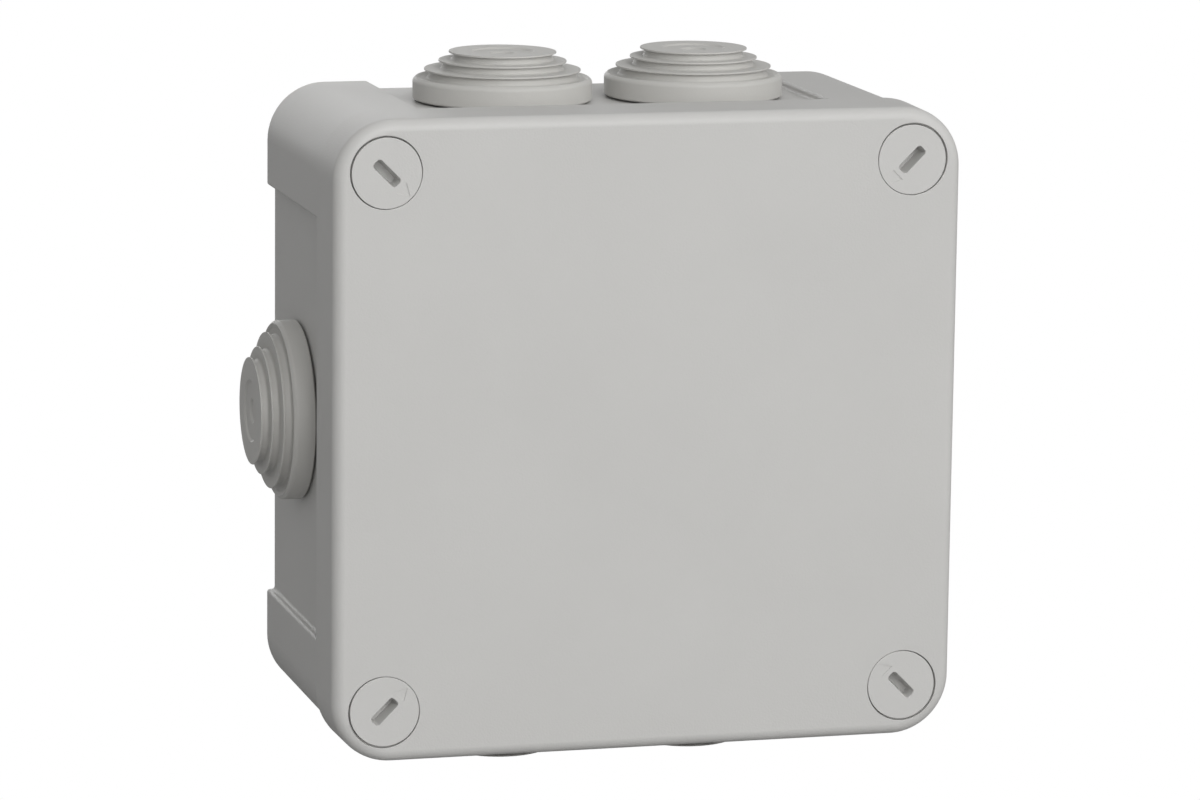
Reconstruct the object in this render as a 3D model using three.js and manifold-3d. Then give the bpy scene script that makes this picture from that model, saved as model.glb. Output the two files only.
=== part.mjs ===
// Surface-mounted junction box: a square base and lid in grey plastic, quarter-turn lid screws,
// stepped push-in cable grommets, and a five-pole terminal strip inside.
//
// Millimetres. Everything is modelled lying on its back: x to the right, y towards the top edge and
// z away from the wall, with z = 0 on the wall. The last lines stand the box upright, so that the
// exported group has +Z up and its lid facing -Y.

import * as THREE from "three";
import { mergeVertices } from "three/addons/utils/BufferGeometryUtils.js";
import Module from "manifold-3d";

// ---------------------------------------------------------------- driving dimensions

const WIDTH = 105; // across the lid
const DEPTH = 54; // wall to the front of the lid
const CLEARANCE = 0.3; // between neighbouring pieces
const OVERRUN = 1; // how far a cutting tool runs past the face that it cuts, or a boss into its wall

// How many flats stand for a full round, from the largest rounds to the smallest, and how many
// stand for each rounded corner and each notch.
const FLATS = { well: 24, entry: 20, head: 18, boss: 16, hole: 12, screw: 10 };
const STEPS = { corner: 6, notch: 7, bevel: 3 };

const LID = {
  half: WIDTH / 2,
  draft: 0.2, // how much narrower each side is at the front
  cornerRadius: 10,
  edgeFillet: 2,
  skirtDepth: 12.2,
  plate: 2.4,
  skirtWall: 2,
  innerCornerRadius: 8,
};

const BASE = {
  half: 51.85,
  cornerRadius: 9.6,
  floor: 2.5,
  panelHalf: 34.6, // half length of the recessed panel in each side
  panelRecess: 1.3,
  height: DEPTH - LID.skirtDepth - CLEARANCE,
};

// The sealing rim: a tongue on the base that presses a gasket into a groove in the lid. It follows
// the sides of the cavity and swings inside the lid screws on a round notch at each corner.
const RIM = { innerHalf: 48.3, innerNotch: 10.2, wall: 1.8, top: DEPTH - 4.7 };
const GASKET = {
  bottom: RIM.top + CLEARANCE,
  thickness: 1.7,
  inset: 0.7, // inside the tongue
  outset: 0.1, // outside the tongue
  notchOut: 8.1,
  notchIn: 10.9,
};
const GROOVE_RIB = { half: 47.3, notch: 11.2, wall: 1.4, bottom: DEPTH - 6 };

const SCREW = {
  offset: 43.8, // from the middle of the box to each screw axis
  headRadius: 5.6,
  headHeight: 3,
  slotLength: 5.2,
  slotWidth: 1.8,
  slotDepth: 2.1,
  edge: 0.25, // chamfer round the head
  shoulderRadius: 4.3,
  collarRadius: 5.15, // the barb below the lid's bore, which keeps the screw captive
  collarLip: 0.6, // height of the barb's edge
  collarTaper: 0.5, // in height and in radius below the edge
  shankRadius: 2.8,
  barHalf: 4.5, // the cross-bar that locks under the tower cap
  barWidth: 2.6,
  barBottom: DEPTH - 16.1,
  barTop: DEPTH - 13.9,
};

const WELL = {
  offset: 43.95, // the well sits a little outside its screw, as it does on the moulded lid
  radius: 5.95,
  boreRadius: 4.85,
  bossRadius: 7.4,
  bossBottom: DEPTH - 4.2,
};

const TOWER = {
  radius: 5.9,
  top: DEPTH - 10,
  chamberRadius: 5,
  chamberTop: DEPTH - 13.3,
  chamberBottom: DEPTH - 22,
  keyholeHalf: 4.9,
  keyholeWidth: 3.2,
  boreRadius: 3.2,
  backPocketRadius: 5.5,
  backPocketTop: DEPTH - 24,
};

const ENTRY = {
  height: 20, // of every entry axis above the wall
  spread: 16.4, // from the middle to each entry of a pair
  holeRadius: 12.6,
  seat: BASE.half - BASE.panelRecess, // the panel that each grommet flange sits on
};

// The wall fixings: a boss round each hole, sunk for the screw's head and closed by a push-in cap.
const FIXING = {
  offset: 32.5,
  bossRadius: 4.4,
  bossTop: 6.5,
  holeRadius: 2.3,
  sinkRadius: 3.4,
  sinkBottom: 4,
};
const CAP = {
  radius: 4.2,
  thickness: 1.3,
  edge: 0.4, // chamfer round the cap
  stemRadius: 3.05,
  stemBottom: 4.4,
  seat: FIXING.bossTop + CLEARANCE,
};

const STRIP = {
  poles: 5,
  pitch: 10.6,
  bottom: 5.3,
  top: 20,
  halfDepth: 9,
  grooveWidth: 1.2, // the grooves between neighbouring poles
  grooveDepth: 8,
  earOffset: 32,
  earRadius: 4.4,
  earTop: 8.6,
  tunnel: 6.8,
  tunnelBottom: 8,
  screwOffset: 4.7, // along the wire, from the middle of the strip to each clamp screw
  accessRadius: 2.35,
};
const CLAMP = {
  width: 6.1,
  halfLength: 7.2,
  wireRadius: 2,
  wireDrop: 0.5, // of the wire bore below the middle of the bar
  threadRadius: 1.55,
};
const DRIVER_SLOT = { width: 0.7, depth: 0.9 }; // in every small steel screw
const CLAMP_SCREW = { shankRadius: 1.2, headRadius: 1.95, headHeight: 1.9, top: 19.2, tip: 13 };
const PAD = { radius: 3.2, top: 5, pilotRadius: 1.5 };
const STRIP_SCREW = {
  shankRadius: 1.2,
  headRadius: 2.7,
  headHeight: 1.7,
  top: STRIP.earTop + CLEARANCE + 1.7,
  tip: 2.9,
  holeRadius: 1.6,
};

// ---------------------------------------------------------------- materials

const plastic = (color, roughness) => new THREE.MeshStandardMaterial({ color, roughness, metalness: 0 });
const metal = (color, roughness) => new THREE.MeshStandardMaterial({ color, roughness, metalness: 1 });

const MATERIAL = {
  housing: plastic(0xc3c2bf, 0.55),
  screw: plastic(0xc6c5c2, 0.5),
  grommet: plastic(0xb4b3ae, 0.7),
  gasket: plastic(0x3a3a3a, 0.9),
  cap: plastic(0xc3c2bf, 0.55),
  strip: plastic(0xe6e2d6, 0.45),
  brass: metal(0xc9a24b, 0.35),
  steel: metal(0xb9bcc0, 0.35),
};

// ---------------------------------------------------------------- solids

const wasm = await Module();
wasm.setup();

// A three.js geometry as a manifold-3d solid.
function solid(geometry) {
  const bare = geometry.clone();
  bare.deleteAttribute("normal");
  bare.deleteAttribute("uv");
  const merged = mergeVertices(bare, 1e-4);
  const faces = merged.index.array;
  const kept = [];
  for (let i = 0; i < faces.length; i += 3) {
    const [a, b, c] = [faces[i], faces[i + 1], faces[i + 2]];
    if (a !== b && b !== c && a !== c) kept.push(a, b, c);
  }
  const vertProperties = new Float32Array(merged.attributes.position.array);
  const triVerts = new Uint32Array(kept);
  return new wasm.Manifold(new wasm.Mesh({ numProp: 3, vertProperties, triVerts }));
}

const join = (first, ...others) => others.reduce((sum, other) => sum.add(other), first);
const cut = (first, ...others) => others.reduce((rest, other) => rest.subtract(other), first);

// A named mesh of a manifold-3d solid.
function piece(name, body, material) {
  const { vertProperties, triVerts, numProp, numVert } = body.getMesh();
  const positions = new Float32Array(numVert * 3);
  for (let i = 0; i < numVert; i++) {
    positions.set(vertProperties.subarray(i * numProp, i * numProp + 3), i * 3);
  }
  const geometry = new THREE.BufferGeometry();
  geometry.setAttribute("position", new THREE.BufferAttribute(positions, 3));
  geometry.setIndex(new THREE.BufferAttribute(new Uint32Array(triVerts), 1));
  geometry.computeVertexNormals();
  const mesh = new THREE.Mesh(geometry, material);
  mesh.name = name;
  return mesh;
}

// A flat outline pulled up from z = bottom to z = top.
function prism(shape, bottom, top) {
  const geometry = new THREE.ExtrudeGeometry(shape, { depth: top - bottom, bevelEnabled: false });
  return solid(geometry.translate(0, 0, bottom));
}

function block(x, y, bottom, top, cx = 0, cy = 0, turn = 0) {
  const geometry = new THREE.BoxGeometry(x, y, top - bottom).rotateZ(turn);
  return solid(geometry.translate(cx, cy, (bottom + top) / 2));
}

function column(radius, bottom, top, cx = 0, cy = 0, flats = FLATS.boss) {
  const geometry = new THREE.CylinderGeometry(radius, radius, top - bottom, flats).rotateX(Math.PI / 2);
  return solid(geometry.translate(cx, cy, (bottom + top) / 2));
}

// A profile of [radius, height] pairs turned round the z axis. It runs from the bottom to the top.
function turned(profile, flats) {
  const points = profile.map(([radius, height]) => new THREE.Vector2(radius, height));
  return solid(new THREE.LatheGeometry(points, flats).rotateX(Math.PI / 2));
}

// ---------------------------------------------------------------- outlines

const CORNERS = [
  { name: "top_right", sx: 1, sy: 1 },
  { name: "top_left", sx: -1, sy: 1 },
  { name: "bottom_left", sx: -1, sy: -1 },
  { name: "bottom_right", sx: 1, sy: -1 },
];

const SIDES = [-1, 1];

const turnedPoint = (x, y, quarter) => {
  const [c, s] = [[1, 0], [0, 1], [-1, 0], [0, -1]][quarter];
  return new THREE.Vector2(x * c - y * s, x * s + y * c);
};

// The same run of points on all four sides, each a quarter turn on from the last.
function fourSided(side) {
  const points = [0, 1, 2, 3].flatMap((quarter) => side.map(([x, y]) => turnedPoint(x, y, quarter)));
  return new THREE.Shape(points);
}

function arc(cx, cy, radius, from, to, steps) {
  return Array.from({ length: steps + 1 }, (_, i) => {
    const angle = THREE.MathUtils.lerp(from, to, i / steps);
    return [cx + radius * Math.cos(angle), cy + radius * Math.sin(angle)];
  });
}

function roundedCorner(half, radius) {
  return arc(half - radius, half - radius, radius, 0, Math.PI / 2, STEPS.corner);
}

// The outside of the base: straight shoulders at the corners and a recessed panel in each side.
function baseOutline() {
  const { half, panelHalf, panelRecess, cornerRadius } = BASE;
  const panel = half - panelRecess;
  const recess = [[half, -panelHalf], [panel, -panelHalf], [panel, panelHalf], [half, panelHalf]];
  return fourSided([...recess, ...roundedCorner(half, cornerRadius)]);
}

// A square whose corners are notched by a circle round each lid screw.
function notchedSquare(half, notch) {
  const centre = SCREW.offset;
  const reach = half - centre;
  const start = Math.atan2(-Math.sqrt(notch ** 2 - reach ** 2), reach);
  const end = -1.5 * Math.PI - start;
  return fourSided(arc(centre, centre, notch, start, end, STEPS.notch));
}

// The band between two notched squares.
function notchedRing(outerHalf, outerNotch, innerHalf, innerNotch, bottom, top) {
  const outer = prism(notchedSquare(outerHalf, outerNotch), bottom, top);
  return cut(outer, prism(notchedSquare(innerHalf, innerNotch), bottom - OVERRUN, top + OVERRUN));
}

// ---------------------------------------------------------------- base

const ENTRIES = [
  { name: "top_left", along: -ENTRY.spread, turn: 0 },
  { name: "top_right", along: ENTRY.spread, turn: 0 },
  { name: "left", along: 0, turn: Math.PI / 2 },
  { name: "bottom_right", along: -ENTRY.spread, turn: Math.PI },
  { name: "bottom_left", along: ENTRY.spread, turn: Math.PI },
  { name: "right_lower", along: ENTRY.spread, turn: -Math.PI / 2 },
  { name: "right_upper", along: -ENTRY.spread, turn: -Math.PI / 2 },
];

// Moves a shape that was made on the z axis, with z = 0 on the panel, to one of the entries.
function placeAtEntry(object, { along, turn }) {
  object.rotation.set(-Math.PI / 2, 0, 0);
  object.position.set(along, ENTRY.seat, ENTRY.height);
  const holder = new THREE.Group();
  holder.rotation.z = turn;
  holder.add(object);
  return holder;
}

function entryHole({ along, turn }) {
  const { holeRadius, height, seat } = ENTRY;
  const reach = 2 * (seat - RIM.innerHalf + OVERRUN);
  const geometry = new THREE.CylinderGeometry(holeRadius, holeRadius, reach, FLATS.entry);
  return solid(geometry.translate(along, seat, height).rotateZ(turn));
}

function screwTower({ sx, sy }) {
  const [x, y] = [sx * SCREW.offset, sy * SCREW.offset];
  return column(TOWER.radius, BASE.height - OVERRUN, TOWER.top, x, y);
}

// What is taken out of a tower: the keyhole that the cross-bar drops through, the chamber that it
// turns in, and a pocket from behind that keeps the moulding thin.
function towerCores({ sx, sy }) {
  const [x, y] = [sx * SCREW.offset, sy * SCREW.offset];
  const diagonal = (sx * sy * Math.PI) / 4;
  const [capBottom, capTop] = [TOWER.chamberTop - OVERRUN, TOWER.top + OVERRUN];
  return [
    column(TOWER.chamberRadius, TOWER.chamberBottom, TOWER.chamberTop, x, y),
    column(TOWER.boreRadius, capBottom, capTop, x, y, FLATS.hole),
    block(2 * TOWER.keyholeHalf, TOWER.keyholeWidth, capBottom, capTop, x, y, diagonal),
    column(TOWER.backPocketRadius, -OVERRUN, TOWER.backPocketTop, x, y),
  ];
}

function fixingCores({ sx, sy }) {
  const [x, y] = [sx * FIXING.offset, sy * FIXING.offset];
  const top = FIXING.bossTop + OVERRUN;
  return [
    column(FIXING.holeRadius, -OVERRUN, top, x, y, FLATS.hole),
    column(FIXING.sinkRadius, FIXING.sinkBottom, top, x, y, FLATS.hole),
  ];
}

function makeBase() {
  const shell = cut(
    prism(baseOutline(), 0, BASE.height),
    prism(notchedSquare(RIM.innerHalf, RIM.innerNotch), BASE.floor, DEPTH),
  );
  const tongue = notchedRing(
    RIM.innerHalf + RIM.wall, RIM.innerNotch - RIM.wall,
    RIM.innerHalf, RIM.innerNotch,
    BASE.height - OVERRUN, RIM.top,
  );
  const sunk = BASE.floor - OVERRUN;
  const bosses = CORNERS.map(({ sx, sy }) =>
    column(FIXING.bossRadius, sunk, FIXING.bossTop, sx * FIXING.offset, sy * FIXING.offset));
  const pads = SIDES.map((side) =>
    column(PAD.radius, sunk, PAD.top, side * STRIP.earOffset, 0, FLATS.hole));
  const pilots = SIDES.map((side) =>
    column(PAD.pilotRadius, BASE.floor, PAD.top + OVERRUN, side * STRIP.earOffset, 0, FLATS.hole));
  const body = join(shell, tongue, ...CORNERS.map(screwTower), ...bosses, ...pads);
  return cut(
    body,
    ...CORNERS.flatMap(towerCores),
    ...CORNERS.flatMap(fixingCores),
    ...ENTRIES.map(entryHole),
    ...pilots,
  );
}

// ---------------------------------------------------------------- lid and gasket

// The outside of the lid: a rounded front edge, and sides that widen by the draft towards the wall.
function lidBlank() {
  const { half, draft, cornerRadius, edgeFillet, skirtDepth } = LID;
  const geometry = new THREE.ExtrudeGeometry(fourSided(roundedCorner(half, cornerRadius)), {
    depth: skirtDepth,
    bevelThickness: edgeFillet,
    bevelSize: edgeFillet,
    bevelOffset: -edgeFillet,
    bevelSegments: STEPS.bevel,
  });
  geometry.translate(0, 0, DEPTH - edgeFillet - skirtDepth);
  const position = geometry.attributes.position;
  for (let i = 0; i < position.count; i++) {
    const forward = (position.getZ(i) - (DEPTH - skirtDepth)) / skirtDepth;
    const scale = 1 - (draft / half) * Math.max(forward, 0);
    position.setXY(i, position.getX(i) * scale, position.getY(i) * scale);
  }
  const behind = block(2 * WIDTH, 2 * WIDTH, -OVERRUN, DEPTH - skirtDepth);
  return cut(solid(geometry), behind);
}

// What is taken out of the lid for a screw: the well that its head sits in, and the bore below it.
function screwWell({ sx, sy }) {
  const top = DEPTH + OVERRUN;
  const seat = DEPTH - SCREW.headHeight - CLEARANCE;
  return [
    column(WELL.radius, seat, top, sx * WELL.offset, sy * WELL.offset, FLATS.well),
    column(WELL.boreRadius, WELL.bossBottom - OVERRUN, top, sx * SCREW.offset, sy * SCREW.offset),
  ];
}

function makeLid() {
  const { half, plate, skirtDepth, skirtWall, innerCornerRadius } = LID;
  const underPlate = DEPTH - plate;
  const insidePlate = underPlate + plate / 4;
  const inside = fourSided(roundedCorner(half - skirtWall, innerCornerRadius));
  const hollow = prism(inside, DEPTH - skirtDepth - OVERRUN, underPlate);
  const rib = notchedRing(
    GROOVE_RIB.half, GROOVE_RIB.notch,
    GROOVE_RIB.half - GROOVE_RIB.wall, GROOVE_RIB.notch + GROOVE_RIB.wall,
    GROOVE_RIB.bottom, insidePlate,
  );
  const wells = CORNERS.map(({ sx, sy }) =>
    column(WELL.bossRadius, WELL.bossBottom, insidePlate, sx * WELL.offset, sy * WELL.offset));
  return cut(join(cut(lidBlank(), hollow), rib, ...wells), ...CORNERS.flatMap(screwWell));
}

function makeGasket() {
  const { bottom, thickness, inset, outset, notchOut, notchIn } = GASKET;
  const outerHalf = RIM.innerHalf + RIM.wall + outset;
  return notchedRing(outerHalf, notchOut, RIM.innerHalf - inset, notchIn, bottom, bottom + thickness);
}

// ---------------------------------------------------------------- lid screws

// A captive quarter-turn screw on the z axis, its driver slot and cross-bar along x.
function makeLidScrew() {
  const { headRadius, headHeight, edge, shoulderRadius, shankRadius } = SCREW;
  const { collarRadius, collarLip, collarTaper } = SCREW;
  const { barHalf, barWidth, barBottom, barTop, slotLength, slotWidth, slotDepth } = SCREW;
  const headBottom = DEPTH - headHeight;
  const collarTop = WELL.bossBottom - CLEARANCE;
  const taperTop = collarTop - collarLip;
  const taperBottom = taperTop - collarTaper;
  const body = turned([
    [0, barBottom],
    [shankRadius, barBottom],
    [shankRadius, taperBottom - CLEARANCE],
    [collarRadius - collarTaper, taperBottom],
    [collarRadius, taperTop],
    [collarRadius, collarTop],
    [shoulderRadius, collarTop],
    [shoulderRadius, headBottom],
    [headRadius, headBottom],
    [headRadius, DEPTH - edge],
    [headRadius - edge, DEPTH],
    [0, DEPTH],
  ], FLATS.head);
  const bar = block(2 * barHalf, barWidth, barBottom, barTop);
  const slot = block(slotLength, slotWidth, DEPTH - slotDepth, DEPTH + OVERRUN);
  return cut(join(body, bar), slot);
}

// ---------------------------------------------------------------- grommets

// Half section of a grommet: [radius, height above the panel]. The outside climbs in four steps to
// the flat top, and the inside is hollow, so that it can be cut to suit the cable.
const GROMMET_PROFILE = [
  [0, 7.1],
  [7.4, 7.1],
  [9.2, 5.4],
  [11, 3.2],
  [11, -4.8],
  [12.6, -4.8],
  [13.9, -3.6],
  [13.9, -2.55],
  [12.3, -2.55],
  [12.3, 0.3],
  [14.5, 0.3],
  [14.95, 1],
  [14.25, 4.2],
  [12.5, 4.5],
  [12.95, 5.4],
  [10.2, 6],
  [10.6, 6.8],
  [8.5, 7.3],
  [8.9, 8.3],
  [0, 8.3],
];

// ---------------------------------------------------------------- fittings inside

function makeFixingCap() {
  const { radius, thickness, edge, stemRadius, stemBottom, seat } = CAP;
  const top = seat + thickness;
  return turned([
    [0, stemBottom],
    [stemRadius, stemBottom],
    [stemRadius, seat],
    [radius, seat],
    [radius, top - edge],
    [radius - edge, top],
    [0, top],
  ], FLATS.boss);
}

const POLES = Array.from({ length: STRIP.poles }, (_, i) => i + 1);

const poleX = (pole) => (pole - (STRIP.poles + 1) / 2) * STRIP.pitch;

// What is taken out of the rail for one pole: the clamp's tunnel and the access holes above it.
function clampChamber(pole) {
  const { tunnel, tunnelBottom, accessRadius, screwOffset, halfDepth, top } = STRIP;
  const through = 2 * (halfDepth + OVERRUN);
  const x = poleX(pole);
  return [
    block(tunnel, through, tunnelBottom, tunnelBottom + tunnel, x),
    ...SIDES.map((side) =>
      column(accessRadius, tunnelBottom, top + OVERRUN, x, side * screwOffset, FLATS.hole)),
  ];
}

// The insulating body: a rail with a tunnel for each clamp, access holes for its two screws, deep
// grooves between the poles, and an ear at each end.
function makeStripBody() {
  const { bottom, top, halfDepth, earTop, grooveWidth, grooveDepth } = STRIP;
  const length = STRIP.poles * STRIP.pitch;
  const through = 2 * (halfDepth + OVERRUN);
  const rail = block(length, 2 * halfDepth, bottom, top);
  const neck = STRIP.earOffset - length / 2 + OVERRUN;
  const ears = SIDES.flatMap((side) => [
    column(STRIP.earRadius, bottom, earTop, side * STRIP.earOffset, 0, FLATS.entry),
    block(neck, 2 * STRIP.earRadius, bottom, earTop, side * (STRIP.earOffset - neck / 2)),
  ]);
  const grooves = POLES.slice(1).map((pole) =>
    block(grooveWidth, through, top - grooveDepth, top + OVERRUN, poleX(pole) - STRIP.pitch / 2));
  const earHoles = SIDES.map((side) =>
    column(STRIP_SCREW.holeRadius, bottom - OVERRUN, top, side * STRIP.earOffset, 0, FLATS.hole));
  return cut(join(rail, ...ears), ...grooves, ...POLES.flatMap(clampChamber), ...earHoles);
}

// A brass clamp: a square bar with a wire bore through its length and a tapped hole near each end.
function makeClamp() {
  const { width, halfLength, wireRadius, wireDrop, threadRadius } = CLAMP;
  const bottom = STRIP.tunnelBottom + CLEARANCE;
  const [middle, top] = [bottom + width / 2, bottom + width];
  const bar = block(width, 2 * halfLength, bottom, top);
  const reach = 2 * (halfLength + OVERRUN);
  const wire = new THREE.CylinderGeometry(wireRadius, wireRadius, reach, FLATS.hole);
  const holes = SIDES.map((side) =>
    column(threadRadius, middle, top + OVERRUN, 0, side * STRIP.screwOffset, FLATS.hole));
  return cut(bar, solid(wire.translate(0, 0, middle - wireDrop)), ...holes);
}

// A slotted screw on the z axis.
function slottedScrew({ shankRadius, headRadius, headHeight, tip, top }, flats) {
  const body = turned([
    [0, tip],
    [shankRadius, tip],
    [shankRadius, top - headHeight],
    [headRadius, top - headHeight],
    [headRadius, top],
    [0, top],
  ], flats);
  const across = 2 * (headRadius + OVERRUN);
  return cut(body, block(across, DRIVER_SLOT.width, top - DRIVER_SLOT.depth, top + OVERRUN));
}

// ---------------------------------------------------------------- assembly

const box = new THREE.Group();
box.add(piece("base_box", makeBase(), MATERIAL.housing));
box.add(piece("lid", makeLid(), MATERIAL.housing));
box.add(piece("lid_gasket", makeGasket(), MATERIAL.gasket));

const lidScrew = makeLidScrew();
const fixingCap = makeFixingCap();
for (const { name, sx, sy } of CORNERS) {
  const screw = piece(`lid_screw_${name}`, lidScrew, MATERIAL.screw);
  screw.position.set(sx * SCREW.offset, sy * SCREW.offset, 0);
  screw.rotation.z = (sx * sy * Math.PI) / 4;
  const cap = piece(`fixing_cap_${name}`, fixingCap, MATERIAL.cap);
  cap.position.set(sx * FIXING.offset, sy * FIXING.offset, 0);
  box.add(screw, cap);
}

const grommet = turned(GROMMET_PROFILE, FLATS.boss);
for (const entry of ENTRIES) {
  box.add(placeAtEntry(piece(`grommet_${entry.name}`, grommet, MATERIAL.grommet), entry));
}

box.add(piece("terminal_strip_body", makeStripBody(), MATERIAL.strip));
const clamp = makeClamp();
const clampScrew = slottedScrew(CLAMP_SCREW, FLATS.screw);
for (const pole of POLES) {
  const bar = piece(`terminal_clamp_${pole}`, clamp, MATERIAL.brass);
  bar.position.x = poleX(pole);
  box.add(bar);
  for (const [end, side] of [["upper", 1], ["lower", -1]]) {
    const screw = piece(`clamp_screw_${pole}_${end}`, clampScrew, MATERIAL.steel);
    screw.position.set(poleX(pole), side * STRIP.screwOffset, 0);
    box.add(screw);
  }
}

const stripScrew = slottedScrew(STRIP_SCREW, FLATS.hole);
for (const [end, side] of [["left", -1], ["right", 1]]) {
  const screw = piece(`strip_screw_${end}`, stripScrew, MATERIAL.steel);
  screw.position.x = side * STRIP.earOffset;
  box.add(screw);
}

const junctionBox = new THREE.Group();
box.rotation.x = Math.PI / 2;
junctionBox.add(box);

export default junctionBox;
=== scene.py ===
"""Junction box: the fine visual pieces, materials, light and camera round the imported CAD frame.

Pieces are modelled in millimetres, lying on the box's back: x to the right, y to the top edge and z
away from the wall. stand_up() then turns each one into the row frame, in metres, with +Z up and the
lid facing -Y.
"""

import math

import bmesh
import bpy
from mathutils import Matrix, Vector


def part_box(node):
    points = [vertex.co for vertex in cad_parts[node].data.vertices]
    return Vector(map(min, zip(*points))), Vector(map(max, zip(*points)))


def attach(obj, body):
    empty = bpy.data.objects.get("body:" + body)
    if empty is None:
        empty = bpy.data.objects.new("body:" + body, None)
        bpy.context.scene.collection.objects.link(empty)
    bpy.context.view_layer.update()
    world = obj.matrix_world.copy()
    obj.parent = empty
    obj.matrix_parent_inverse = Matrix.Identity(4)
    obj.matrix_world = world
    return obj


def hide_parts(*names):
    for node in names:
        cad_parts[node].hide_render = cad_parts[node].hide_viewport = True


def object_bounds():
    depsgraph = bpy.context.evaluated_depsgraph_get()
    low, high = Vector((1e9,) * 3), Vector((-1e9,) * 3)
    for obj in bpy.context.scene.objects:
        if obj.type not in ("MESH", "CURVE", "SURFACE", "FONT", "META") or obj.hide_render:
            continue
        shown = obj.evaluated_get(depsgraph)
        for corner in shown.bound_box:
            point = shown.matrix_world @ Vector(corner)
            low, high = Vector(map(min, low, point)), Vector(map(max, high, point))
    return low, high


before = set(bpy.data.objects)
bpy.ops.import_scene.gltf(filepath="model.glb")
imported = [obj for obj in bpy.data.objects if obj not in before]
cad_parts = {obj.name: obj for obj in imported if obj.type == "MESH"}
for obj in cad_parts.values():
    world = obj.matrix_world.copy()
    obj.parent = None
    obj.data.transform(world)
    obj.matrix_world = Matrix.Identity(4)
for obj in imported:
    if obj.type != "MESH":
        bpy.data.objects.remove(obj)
CAD_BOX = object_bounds()

# ------------------------------------------------------------------ sizes, in millimetres

MM = 0.001
LAID_DOWN = Matrix.Rotation(math.pi / 2, 4, "X")
UPRIGHT = LAID_DOWN @ Matrix.Scale(MM, 4)

PIECE_GAP = 0.3  # between pieces that rest on each other
OVERLAP = 0.01  # keeps apart faces that would otherwise share a plane
OVERRUN = 1  # how far a cutter reaches past what it cuts

LID_LOW, LID_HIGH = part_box("lid")
DEPTH = -LID_LOW.y / MM
SEAM = -LID_HIGH.y / MM
LID_HALF = 52.5
LID_DRAFT = 0.2
LID_FILLET = 2
LID_UNDERSIDE = DEPTH - 2.4
LID_INNER_HALF = 50.5
CORNER_CENTRE = 42.5  # of every rounded corner of the lid
LID_RIB_HALF = 47.3
LID_RIB_NOTCH = 11.2
LID_RIB_WALL = 1.4
LID_RIB_BOTTOM = DEPTH - 6

BASE_HALF = 51.85
BASE_CORNER_RADIUS = 9.6
BASE_TOP = SEAM - PIECE_GAP
BASE_FLOOR = 2.5
BASE_EDGE = 0.4  # rounding of the base's main edges
BOSS_ROOT = 1  # inside the floor, for what stands on it
PANEL_HALF = 34.6
PANEL_SEAT = BASE_HALF - 1.3
PANEL_EDGE_RADIUS = 0.55
PANEL_FOOT_RADIUS = 0.5

RIM_INNER_HALF = 48.3
RIM_INNER_NOTCH = 10.2
RIM_WALL = 1.8
RIM_ROOT = 30  # lies inside the shell, which is solid until its cavity is cut
RIM_TOP = DEPTH - 4.7
GASKET_WIDTH = 2.6
GASKET_HEIGHT = 1.7

SCREW_OFFSET = 43.8
WELL_OFFSET = 43.9
WELL_RADIUS = 5.92
WELL_LEDGE = 0.8  # depth of the wider mouth of the well
WELL_BORE_RADIUS = 4.85
WELL_BOSS_RADIUS = 7.4
WELL_BOSS_BOTTOM = DEPTH - 4.2

SCREW_HEAD_RADIUS = 5.73
SCREW_HEAD_GAP = 0.07  # to the well, all round the head
SCREW_HEAD_BOTTOM = DEPTH - 3
SCREW_NECK_RADIUS = 4.3
SCREW_COLLAR_RADIUS = 5.15
SCREW_COLLAR_TOP = WELL_BOSS_BOTTOM - PIECE_GAP
SCREW_SHANK_RADIUS = 2.8
CROSSBAR_LENGTH = 9
CROSSBAR_WIDTH = 2.6
CROSSBAR_BOTTOM = DEPTH - 16.1
CROSSBAR_TOP = DEPTH - 13.9
SLOT_LENGTH = 5.1
SLOT_WIDTH = 1.75
SLOT_DEPTH = 2.8
SLOT_DRAFT = 0.35
SLOT_END_RADIUS = 0.55
SLOT_CHAMFER = 0.08

TOWER_RADIUS = 5.9
TOWER_TOP = DEPTH - 10
CHAMBER_RADIUS = 5
CHAMBER_TOP = DEPTH - 13.3
CHAMBER_BOTTOM = DEPTH - 22
KEYHOLE_RADIUS = 3.2
KEYHOLE_LENGTH = 9.8
KEYHOLE_WIDTH = 3.2
POCKET_RADIUS = 5.5
POCKET_TOP = DEPTH - 24

ENTRY_HEIGHT = 20
ENTRY_SPREAD = 16.4
ENTRY_RADIUS = 12.6
ENTRY_REACH = 6  # of the hole's cutter, on both sides of the panel

GROMMET_BORE_RADIUS = 11
GROMMET_NECK_RADIUS = 12.3
GROMMET_LIP_RADIUS = 13.9
GROMMET_LIP_TOP = -2.55
GROMMET_BOTTOM = -4.8
FLANGE_RADIUS = 14.85
FLANGE_TOP = 3.75
TIERS = ((12.95, 5.4), (10.6, 6.85), (8.9, 8.3))  # radius and top of each step
DISC_RADIUS = 5.2
DIMPLE_RADIUS = 2.1

FIXING_OFFSET = 32.5
FIXING_HOLE_RADIUS = 2.3
FIXING_SINK_RADIUS = 3.4
FIXING_SINK_FLOOR = 4
FIXING_BOSS_RADIUS = 4.4
FIXING_BOSS_TOP = 6.5
CAP_SEAT = FIXING_BOSS_TOP + PIECE_GAP
CAP_TOP = CAP_SEAT + 1.3
CAP_DIMPLE = CAP_SEAT + 0.9
CAP_RADIUS = 4.2
CAP_PLUG_RADIUS = 3.05
CAP_PLUG_BOTTOM = 4.4

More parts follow.
